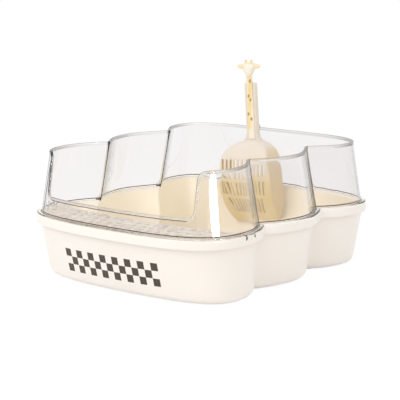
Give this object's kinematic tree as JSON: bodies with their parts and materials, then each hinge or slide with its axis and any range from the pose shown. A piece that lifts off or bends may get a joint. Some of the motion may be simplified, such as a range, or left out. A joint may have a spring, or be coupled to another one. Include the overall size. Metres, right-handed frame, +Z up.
{
  "type": "litter box",
  "caption": "Semi-enclosed litter box: lobed tray, clear surround with a low front entrance and a perforated tread grid, and a slotted scoop that hangs on the back wall.",
  "frame": {"origin": "on the floor, under the middle of the tray's rim in plan", "axes": "+Z up; -Y towards the entrance at the front, +Y towards the back wall; +X to the right when facing the back wall from the entrance"},
  "size_m": [0.414, 0.498, 0.3283],
  "materials": {
    "cream_plastic": "satin moulded plastic",
    "clear_plastic": "clear polished plastic",
    "frosted_plastic": "translucent plastic",
    "scoop_plastic": "satin moulded plastic",
    "golden_plastic": "satin moulded plastic, painted spots"
  },
  "bodies": {
    "tray": {"tray": "cream_plastic"},
    "surround": {"surround": "clear_plastic", "tread_grid": "frosted_plastic"},
    "scoop": {"scoop": "scoop_plastic", "giraffe_figure": "golden_plastic"}
  },
  "joints": [
    {"name": "surround_lift", "type": "slide", "parent": "tray", "child": "surround", "axis": [0, 0, 1], "range_m": [0, 0.15]},
    {"name": "scoop_lift", "type": "slide", "parent": "surround", "child": "scoop", "axis": [0, -0.158, 0.9874], "range_m": [0, 0.2]}
  ]
}
